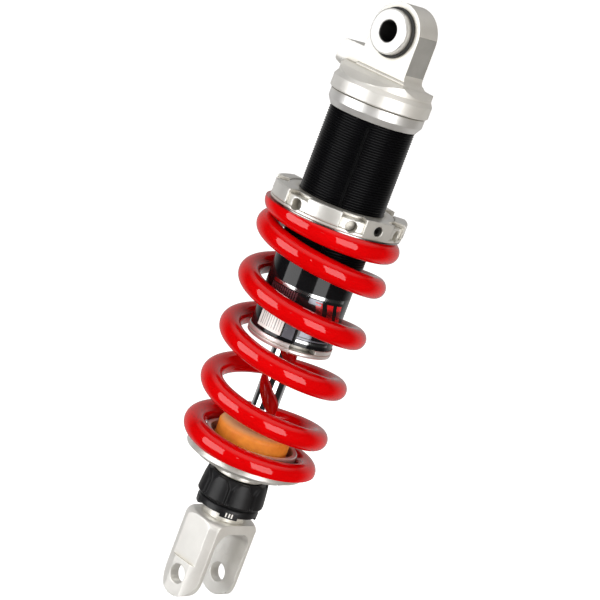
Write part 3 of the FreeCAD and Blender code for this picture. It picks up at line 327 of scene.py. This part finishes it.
# ------------------------------------------------------------------ mesh helpers
def make_object(name, verts, faces, materials, body, sharp=32.0, face_mats=None, merge=1e-7):
    bm = bmesh.new()
    vs = [bm.verts.new(v) for v in verts]
    for k, f in enumerate(faces):
        ids = []
        for i in f:
            if i not in ids:
                ids.append(i)
        if len(ids) < 3:
            continue
        try:
            face = bm.faces.new([vs[i] for i in ids])
        except ValueError:
            continue
        if face_mats is not None:
            face.material_index = face_mats[k]
    if merge:
        bmesh.ops.remove_doubles(bm, verts=bm.verts, dist=merge)
        bmesh.ops.dissolve_degenerate(bm, dist=merge, edges=bm.edges)
    loose = [v for v in bm.verts if not v.link_faces]
    bmesh.ops.delete(bm, geom=loose, context="VERTS")
    bmesh.ops.recalc_face_normals(bm, faces=bm.faces)
    me = bpy.data.meshes.new(name)
    bm.to_mesh(me)
    bm.free()
    for m in materials:
        me.materials.append(m)
    me.polygons.foreach_set("use_smooth", [True] * len(me.polygons))
    me.set_sharp_from_angle(angle=math.radians(sharp))
    ob = bpy.data.objects.new(name, me)
    scene.collection.objects.link(ob)
    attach(ob, body)
    return ob


def lathe(profile, angles):
    """Verts and faces of a closed outline (r, z in mm) turned about Z, at the given angles."""
    verts, faces = [], []
    n, c = len(profile), len(angles)
    for t in angles:
        ct, st = math.cos(t), math.sin(t)
        for r, z in profile:
            verts.append((r * ct * MM, r * st * MM, z * MM))
    for j in range(c):
        k = (j + 1) % c
        for i in range(n):
            l = (i + 1) % n
            faces.append((j * n + i, k * n + i, k * n + l, j * n + l))
    return verts, faces


CAM_TURN = math.radians(AZ - 90.0)        # direction of the viewer, seen from the shaft


# ------------------------------------------------------------------ coil spring, left-hand, closed and ground ends
def spring_rise(n):
    a0, a1, b0, b1 = 0.45, 1.12, 4.33, 4.97

    def ease(x, lo, hi):
        if x <= lo:
            return 0.0
        u = min((x - lo) / (hi - lo), 1.0)
        return (hi - lo) * (u ** 3 - u ** 4 / 2.0) + max(x - hi, 0.0)

    return -117.65 - 13.3 * n - (32.85 - 13.3) * (ease(n, a0, a1) - ease(n, b0, b1))


def build_spring():
    n0, n1, per, sides = -0.62, 5.60, 72, 40
    count = int((n1 - n0) * per)
    R, w = 36.2, 6.545
    top, bottom = -113.15, -263.95
    verts, faces = [], []
    for i in range(count + 1):
        n = n0 + (n1 - n0) * i / count
        t = math.radians(-50.7 + 360.0 * n)
        h = 1e-4
        slope = (spring_rise(n + h) - spring_rise(n - h)) / (2 * h) / (2 * math.pi)
        centre = Vector((R * math.cos(t), R * math.sin(t), spring_rise(n)))
        along = Vector((-R * math.sin(t), R * math.cos(t), slope)).normalized()
        out = Vector((math.cos(t), math.sin(t), 0.0))
        side = along.cross(out)
        for k in range(sides):
            q = 2 * math.pi * k / sides
            p = centre + out * (w * math.cos(q)) + side * (w * math.sin(q))
            verts.append(p * MM)
    for i in range(count):
        for k in range(sides):
            l = (k + 1) % sides
            faces.append((i * sides + k, i * sides + l, (i + 1) * sides + l, (i + 1) * sides + k))
    faces.append(tuple(range(sides)))
    faces.append(tuple(count * sides + k for k in reversed(range(sides))))
    bm = bmesh.new()
    vs = [bm.verts.new(v) for v in verts]
    for f in faces:
        bm.faces.new([vs[i] for i in f])
    # ground ends: a flat cut, closed again
    for z, nz in ((top, 1), (bottom, -1)):
        res = bmesh.ops.bisect_plane(bm, geom=bm.verts[:] + bm.edges[:] + bm.faces[:], dist=1e-8, plane_co=(0, 0, z * MM), plane_no=(0, 0, nz), clear_outer=True)
        cut = [g for g in res["geom_cut"] if isinstance(g, bmesh.types.BMEdge)]
        bmesh.ops.contextual_create(bm, geom=cut)
    bmesh.ops.recalc_face_normals(bm, faces=bm.faces)
    me = bpy.data.meshes.new("spring_coils")
    bm.to_mesh(me)
    bm.free()
    me.materials.append(M["red_spring"])
    me.polygons.foreach_set("use_smooth", [True] * len(me.polygons))
    me.set_sharp_from_angle(angle=math.radians(30))
    ob = bpy.data.objects.new("spring_coils", me)
    scene.collection.objects.link(ob)
    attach(ob, "spring_carrier")
    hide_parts("coil_spring")
    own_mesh(ob)
    return ob


build_spring()


# ------------------------------------------------------------------ cylinder: real helical thread, key slot, smooth lower half
def build_cylinder():
    slot_at = math.radians(39.3 - 90.0)
    half = math.asin(0.9 / 26.0)
    cols = []
    count = 144
    for j in range(count):
        t = slot_at + half + 0.004 + (2 * math.pi - 2 * half - 0.008) * j / (count - 1)
        cols.append((t, False))
    cols += [(slot_at - half + 2 * math.pi, True), (slot_at + 2 * math.pi, True), (slot_at + half + 2 * math.pi, True)]
    base_t = cols[0][0]
    profile = [(0.0, 26.0), (0.12, 26.0), (0.42, 25.16), (0.52, 25.08), (0.60, 25.16)]
    S, pitch = len(profile), 1.5
    z_top, z_bot = -33.6, -135.4
    turns = int((z_top - z_bot) / pitch) + 3
    rows = turns * S
    verts, faces, mats = [], [], []
    nc = len(cols)
    for t, in_slot in cols:
        frac = (t - base_t) / (2 * math.pi)
        for k in range(rows + 1):
            p, q = profile[k % S]
            z = z_top + pitch * 1.0 - pitch * (k // S + p) + pitch * frac
            r = q
            if z >= z_top:
                z, r = z_top, 25.2
            if z <= z_bot:
                z, r = z_bot, 25.2
            if in_slot and z <= -53.5:
                r = 24.55
            verts.append((r * math.cos(t) * MM, r * math.sin(t) * MM, z * MM))
    w = rows + 1
    for j in range(nc):
        k2 = (j + 1) % nc
        for k in range(rows):
            a0, b0 = j * w + k, j * w + k + 1
            if k2 == 0:
                c0, d0 = max(k + 1 - S, 0), max(k - S, 0)
            else:
                c0, d0 = k2 * w + k + 1, k2 * w + k
            faces.append((a0, b0, c0, d0))
            mats.append(1)
    # rows past the seam at the lower end close on the same ring
    angles = [t for t, _ in cols]
    low = [(25.2, z_bot), (25.3, -136.0), (25.3, -186.7), (24.9, -187.1), (23.4, -187.1), (23.0, -186.7), (23.0, -33.5), (23.3, -33.2), (25.0, -33.2), (25.2, z_top)]
    base = len(verts)
    n = len(low)
    for t in angles:
        for r, z in low:
            verts.append((r * math.cos(t) * MM, r * math.sin(t) * MM, z * MM))
    for j in range(nc):
        k2 = (j + 1) % nc
        for i in range(n - 1):
            faces.append((base + j * n + i, base + k2 * n + i, base + k2 * n + i + 1, base + j * n + i + 1))
            mats.append(0)
    ob = make_object("damper_cylinder", verts, faces, [M["black_cylinder"], M["thread_black"]], "cylinder", 34.0, mats, 2e-6)
    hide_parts("cylinder_tube")
    return ob


build_cylinder()


# ------------------------------------------------------------------ bump stop: moulded foam with a soft top edge
def build_bump_stop():
    prof = []
    r0, r1, zt = 8.6, 22.75, -246.6
    prof.append((r0, zt - 1.4))
    for k in range(7):
        q = math.radians(180 - 90 * k / 6)
        prof.append((r0 + 1.6 + 1.6 * math.cos(q), zt - 1.6 + 1.6 * math.sin(q)))
    for k in range(1, 7):
        prof.append((r0 + 1.6 + (r1 - 6.2 - r0 - 1.6) * k / 6.0, zt))
    for k in range(1, 17):
        q = math.radians(90 - 90 * k / 16)
        prof.append((r1 - 6.2 + 6.2 * math.cos(q) ** 0.9, zt - 4.4 + 4.4 * math.sin(q) ** 0.9))
    for k in range(1, 13):
        u = k / 12.0
        prof.append((r1 - 0.25 * math.sin(math.pi * u), zt - 4.4 - 9.5 * u))
    prof.append((r1 - 0.5, -261.45))
    prof.append((r0, -261.45))
    for k in range(1, 8):
        prof.append((r0, -261.45 + 13.4 * k / 8.0))
    verts, faces = lathe(prof, [2 * math.pi * j / 128 for j in range(128)])
    out = []
    for v in verts:
        p = Vector(v)
        d = noise.noise(p * 140.0) * 0.00012 + noise.noise(p * 420.0) * 0.00005
        flat = Vector((p.x, p.y, 0)).normalized()
        q = p + flat * (d if math.hypot(p.x, p.y) > 0.010 else 0.0)
        if q.z > (zt - 0.3) * MM:
            q.z -= abs(d) * 0.8
        out.append(q)
    ob = make_object("bump_stop_foam", out, faces, [M["orange_elastomer"]], "shaft", 50.0)
    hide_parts("bump_stop")
    return ob


build_bump_stop()


# ------------------------------------------------------------------ rebound knob: eight grip lobes with arched tops
def build_knob():
    lobes, offset = 8, math.radians(-50.7 - 3.0 + 22.5)
    zs_t, zs_b = -279.3, -296.0
    cols, rows = 320, 56
    verts, faces = [], []

    def outer(u):
        """Radius of the lobes' faces down the knob, u from 0 at the top to 1 at the bottom."""
        if u < 0.05:
            return 18.7 + 0.7 * math.sin(u / 0.05 * math.pi / 2)
        if u < 0.86:
            return 19.4 + 1.45 * ((u - 0.05) / 0.81) ** 0.8
        return 20.85 - 2.5 * ((u - 0.86) / 0.14) ** 1.5

    for i in range(rows + 1):
        u = i / rows
        z = zs_t + (zs_b - zs_t) * u
        for j in range(cols):
            t = 2 * math.pi * j / cols
            s = ((t - offset) * lobes / (2 * math.pi) + 0.5) % 1.0 - 0.5       # -0.5 to 0.5 across a lobe
            s = abs(s) * 2.0                                                   # 0 in the middle, 1 in the groove
            r = outer(u)
            r -= 0.35 * s * s                                                 # faces are a little flatter than round
            width = 0.24 + 0.50 * max(0.0, 1.0 - u / 0.34) ** 1.6              # the groove opens towards the top
            edge = (s - (1.0 - width)) / 0.16
            g = min(max(edge, 0.0), 1.0)
            g = g * g * (3 - 2 * g)
            depth = 1.55 if u < 0.82 else 1.55 * max(0.0, 1.0 - (u - 0.82) / 0.12)
            r -= g * depth
            verts.append((r * math.cos(t) * MM, r * math.sin(t) * MM, z * MM))
    for i in range(rows):
        for j in range(cols):
            k = (j + 1) % cols
            faces.append((i * cols + j, (i + 1) * cols + j, (i + 1) * cols + k, i * cols + k))
    # top and bottom lands and the bore, closed through the pin's recess
    inner = [(12.9, zs_t), (12.38, zs_t - 0.5), (12.38, -285.2), (15.4, -285.2), (15.4, -291.8), (12.38, -291.8), (12.38, zs_b + 0.4), (12.8, zs_b)]
    rings = [[(cols * 0 + j) for j in range(cols)]]
    base = len(verts)
    for r, z in inner:
        for j in range(cols):
            t = 2 * math.pi * j / cols
            verts.append((r * math.cos(t) * MM, r * math.sin(t) * MM, z * MM))
    chain = [0] + [base + i * cols for i in range(len(inner))] + [rows * cols]
    for p, q in zip(chain[:-1], chain[1:]):
        for j in range(cols):
            k = (j + 1) % cols
            faces.append((p + j, p + k, q + k, q + j))
    ob = make_object("rebound_knob_body", verts, faces, [M["black_knob"]], "knob", 38.0)
    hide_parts("rebound_knob")
    return ob


build_knob()


# ------------------------------------------------------------------ label on the cylinder: plain bands and blocks, no lettering
def flat_paint(name, colour, rough, metal=0.0, vary=0.02):
    m, nt, b = new_material(name)
    c = coords(nt)
    lo = tuple(max(x * (1 - vary * 4), 0) for x in colour)
    hi = tuple(min(x * (1 + vary * 2), 1) for x in colour)
    nt.links.new(ramp(nt, noise_tex(nt, c, 300.0, 4.0), [(0.3, lo), (0.7, hi)]), b.inputs["Base Color"])
    nt.links.new(span(nt, noise_tex(nt, c, 900.0, 3.0), rough * 0.8, rough * 1.25), b.inputs["Roughness"])
    b.inputs["Metallic"].default_value = metal
    b.inputs["Coat Weight"].default_value = 0.6
    b.inputs["Coat Roughness"].default_value = 0.06
    return m


LAB = [
    flat_paint("label_black", (0.008, 0.008, 0.009), 0.12),
    flat_paint("label_silver", (0.80, 0.80, 0.80), 0.16, 1.0),
    flat_paint("label_red", (0.70, 0.006, 0.010), 0.25),
    flat_paint("label_white", (0.86, 0.85, 0.83), 0.35),
    flat_paint("label_plum", (0.20, 0.075, 0.095), 0.30, 0.6),
    flat_paint("label_grey", (0.20, 0.21, 0.25), 0.25, 0.5),
    flat_paint("label_mark", (0.30, 0.30, 0.31), 0.4),
]


def build_label():
    verts, faces, mats = [], [], []
    base_r = 25.3

    def patch(phi0, phi1, z0, z1, mat, lift, slant=0.0):
        """A thin closed tile on the cylinder; phi in degrees round to the viewer's right, z in mm."""
        steps = max(2, int(abs(phi1 - phi0) / 2.0) + 1)
        start = len(verts)
        for r in (base_r + 0.004, base_r + lift):
            for zi, z in enumerate((z0, z1)):
                for i in range(steps + 1):
                    phi = math.radians(phi0 + (phi1 - phi0) * i / steps + slant * zi)
                    t = CAM_TURN + phi
                    verts.append((r * math.cos(t) * MM, r * math.sin(t) * MM, z * MM))
        n = steps + 1
        A, B, C, D = start, start + n, start + 2 * n, start + 3 * n
        for i in range(steps):
            for q in ((C + i, C + i + 1, D + i + 1, D + i), (A + i, B + i, B + i + 1, A + i + 1),
                      (A + i, A + i + 1, C + i + 1, C + i), (B + i, D + i, D + i + 1, B + i + 1)):
                faces.append(q)
                mats.append(mat)
        for q in ((A, C, D, B), (A + steps, B + steps, D + steps, C + steps)):
            faces.append(q)
            mats.append(mat)

    top, bot = -154.6, -185.2
    patch(-56, 84, bot, top, 0, 0.05)                        # black ground
    patch(-54, 60, top - 2.3, top - 0.4, 1, 0.08)             # upper silver frame line
    patch(8, 60, bot + 0.5, bot + 2.0, 1, 0.08)               # lower silver frame lines
    patch(8, 60, bot + 2.7, bot + 3.6, 5, 0.08)
    for k in range(13):                                       # plum comb on the left
        p = -55 + k * 3.5
        patch(p, p + 2.2, -166.5, -157.6, 4, 0.08)
    patch(-9, 4, -164.8, -163.6, 1, 0.08)
    patch(6, 24, -160.6, -157.6, 5, 0.08)                     # small grey step
    for p in (23, 40, 57):                                    # red slanted bars
        patch(p, p + 10, -169.5, -158.6, 2, 0.09, -8.0)
    patch(-55, -14, -184.9, -173.0, 3, 0.08)                  # white panel
    for k in range(9):                                        # faint upright rules on it
        p = -50 + k * 4.0
        patch(p, p + (0.9 if k % 3 else 1.6), -183.2, -175.0, 6, 0.10)
    patch(-12, 3, -184.9, -173.0, 5, 0.08)                    # grey block
    patch(-12.8, -11.6, -184.9, -173.0, 1, 0.09)
    patch(10, 27, -181.0, -176.2, 5, 0.08)
    for p in (10, 30, 36, 42):
        patch(p, p + 4.2, -175.6, -174.7, 1, 0.08)
    ob = make_object("cylinder_label", verts, faces, LAB, "cylinder", 30.0, mats, 0)
    return ob


build_label()


# ------------------------------------------------------------------ plain matt panel on the edge of the lug
def build_panel():
    verts, faces = [], []
    path = [(18.0, -19.4 + 19.4 * k / 10.0, 1.0, 0.0) for k in range(11)]
    for k in range(1, 6):
        q = math.radians(11.0 * k / 5.0)
        path.append((18.0 * math.cos(q), 18.0 * math.sin(q), math.cos(q), math.sin(q)))
    for x, z, nx, nz in path:
        for lift in (0.004, 0.03):
            for y in (-7.9, 7.9):
                verts.append(((x + nx * lift) * MM, y * MM, (z + nz * lift) * MM))
    for k in range(len(path) - 1):
        p, q = 4 * k, 4 * k + 4
        faces += [(p, p + 1, q + 1, q), (p + 2, q + 2, q + 3, p + 3), (p, q, q + 2, p + 2), (p + 1, p + 3, q + 3, q + 1)]
    e = 4 * (len(path) - 1)
    faces += [(0, 2, 3, 1), (e, e + 1, e + 3, e + 2)]
    m = aluminium("matt_panel", (0.42, 0.42, 0.41), 0.5, metal=0.4)
    ob = make_object("lug_panel", verts, faces, [m], "cylinder", 30.0, None, 0)
    return ob


build_panel()


# ------------------------------------------------------------------ plain tick marks on the index ring
def build_ticks():
    verts, faces = [], []
    for phi in (3.0, 9.0, 14.0):
        t0, t1 = CAM_TURN + math.radians(phi), CAM_TURN + math.radians(phi + 2.6)
        start = len(verts)
        for r in (19.02, 19.2):
            for z in (-301.3, -298.6):
                for t in (t0, t1):
                    verts.append((r * math.cos(t) * MM, r * math.sin(t) * MM, z * MM))
        for q in ((0, 1, 3, 2), (4, 6, 7, 5), (0, 4, 5, 1), (2, 3, 7, 6), (0, 2, 6, 4), (1, 5, 7, 3)):
            faces.append(tuple(start + i for i in q))
    ob = make_object("index_ticks", verts, faces, [LAB[3]], "shaft", 30.0, None, 0)
    return ob


build_ticks()


# ------------------------------------------------------------------ light and floor
def panel(name, az, el, dist, width, height, strength, colour=(1, 1, 1), aim=(0, 0, -0.17)):
    """A soft panel az degrees to the viewer's right of the camera's bearing, seen from the shaft."""
    t = CAM_TURN + math.radians(az)
    q = math.radians(el)
    d = Vector((math.cos(t) * math.cos(q), math.sin(t) * math.cos(q), math.sin(q)))
    light = bpy.data.lights.new(name, "AREA")
    light.shape = "RECTANGLE"
    light.size = width
    light.size_y = height
    light.energy = strength * width * height * math.pi      # watts that give this radiance
    light.color = colour
    ob = bpy.data.objects.new(name, light)
    scene.collection.objects.link(ob)
    ob.location = Vector(aim) + d * dist
    ob.rotation_euler = d.to_track_quat("Z", "Y").to_euler()
    ob.visible_camera = False
    return ob


def tan(x):
    return math.tan(math.radians(x))


DD = 1.6
def only(ob, glossy):
    """Keep a panel to reflections alone, or to soft light alone."""
    ob.visible_diffuse = not glossy
    ob.visible_glossy = glossy
    return ob


only(panel("strip_left", -55, 4, DD, 2 * DD * tan(21), 2 * DD * tan(26), 3.4), True)
only(panel("strip_right", 32, 4, DD, 2 * DD * tan(18), 2 * DD * tan(26), 3.4), True)
only(panel("spot_front", -9, 14, DD, 0.10, 0.05, 6.0), True)
only(panel("wide_left", -52, 6, DD, 1.7, 1.8, 2.4), False)
only(panel("wide_right", 40, 2, DD, 1.7, 1.7, 2.4, (1.0, 0.95, 0.88)), False)
only(panel("overhead", 10, 80, 1.6, 1.6, 1.6, 0.05), False)

world = bpy.data.worlds.new("studio")
scene.world = world
world.use_nodes = True
wt = world.node_tree
soft = wt.nodes["Background"]                                # even light for matt surfaces
soft.inputs["Color"].default_value = (1.0, 0.94, 0.84, 1)
way = wt.nodes.new("ShaderNodeTexCoord").outputs["Generated"]
ahead = wt.nodes.new("ShaderNodeVectorMath")
ahead.operation = "DOT_PRODUCT"
ahead.inputs[1].default_value = -back
wt.links.new(way, ahead.inputs[0])
far = wt.nodes.new("ShaderNodeMapRange")                     # bright backdrop behind the object
far.interpolation_type = "SMOOTHSTEP"
for key, value in (("From Min", 0.25), ("From Max", 0.80), ("To Min", 0.02), ("To Max", 0.42)):
    far.inputs[key].default_value = value
wt.links.new(ahead.outputs["Value"], far.inputs["Value"])
height = wt.nodes.new("ShaderNodeSeparateXYZ")
wt.links.new(way, height.inputs[0])
roof = wt.nodes.new("ShaderNodeMapRange")                    # paler ceiling
roof.interpolation_type = "SMOOTHSTEP"
for key, value in (("From Min", 0.5), ("From Max", 0.9), ("To Min", 0.0), ("To Max", 0.85)):
    roof.inputs[key].default_value = value
wt.links.new(height.outputs["Z"], roof.inputs["Value"])
both = wt.nodes.new("ShaderNodeMath")
both.operation = "MAXIMUM"
wt.links.new(far.outputs["Result"], both.inputs[0])
wt.links.new(roof.outputs["Result"], both.inputs[1])
dome = wt.nodes.new("ShaderNodeMapRange")                    # matt light comes more from the sides than from above
dome.interpolation_type = "SMOOTHSTEP"
for key, value in (("From Min", 0.05), ("From Max", 0.75), ("To Min", 0.72), ("To Max", 0.12)):
    dome.inputs[key].default_value = value
wt.links.new(height.outputs["Z"], dome.inputs["Value"])
wt.links.new(dome.outputs["Result"], soft.inputs["Strength"])
crisp = wt.nodes.new("ShaderNodeBackground")                 # what shiny surfaces reflect
crisp.inputs["Color"].default_value = (1.0, 0.985, 0.97, 1)
wt.links.new(both.outputs[0], crisp.inputs["Strength"])
seen = wt.nodes.new("ShaderNodeBackground")
seen.inputs["Color"].default_value = (1, 1, 1, 1)
seen.inputs["Strength"].default_value = 1.0
path = wt.nodes.new("ShaderNodeLightPath")
gloss = wt.nodes.new("ShaderNodeMixShader")
wt.links.new(path.outputs["Is Glossy Ray"], gloss.inputs[0])
wt.links.new(soft.outputs[0], gloss.inputs[1])
wt.links.new(crisp.outputs[0], gloss.inputs[2])
mix = wt.nodes.new("ShaderNodeMixShader")
wt.links.new(path.outputs["Is Camera Ray"], mix.inputs[0])
wt.links.new(gloss.outputs[0], mix.inputs[1])
wt.links.new(seen.outputs[0], mix.inputs[2])
wt.links.new(mix.outputs[0], wt.nodes["World Output"].inputs["Surface"])
world.cycles.sampling_method = "NONE"

fm, nt, fb = new_material("floor_white")
route = node(nt, "ShaderNodeLightPath")
nt.links.new(ramp(nt, noise_tex(nt, coords(nt), 3.0, 2.0), [(0.3, (0.74, 0.74, 0.74)), (0.7, (0.78, 0.78, 0.78))]), fb.inputs["Base Color"])
fb.inputs["Roughness"].default_value = 0.9
fb.inputs["Specular IOR Level"].default_value = 0.1
fb.inputs["Emission Color"].default_value = (1, 1, 1, 1)
lit = node(nt, "ShaderNodeMapRange")
lit.inputs["To Min"].default_value = 0.02
lit.inputs["To Max"].default_value = 1.0
nt.links.new(route.outputs["Is Camera Ray"], lit.inputs["Value"])
nt.links.new(lit.outputs["Result"], fb.inputs["Emission Strength"])
bm = bmesh.new()
bmesh.ops.create_grid(bm, x_segments=40, y_segments=40, size=14.0)
fmesh = bpy.data.meshes.new("floor")
bm.to_mesh(fmesh)
bm.free()
fmesh.materials.append(fm)
floor = bpy.data.objects.new("floor", fmesh)
scene.collection.objects.link(floor)
floor.location = (0, 0, CAD_BOX[0][2] - 0.0006)
floor.visible_glossy = False          # metal reflects the studio, not the floor
floor.visible_shadow = False
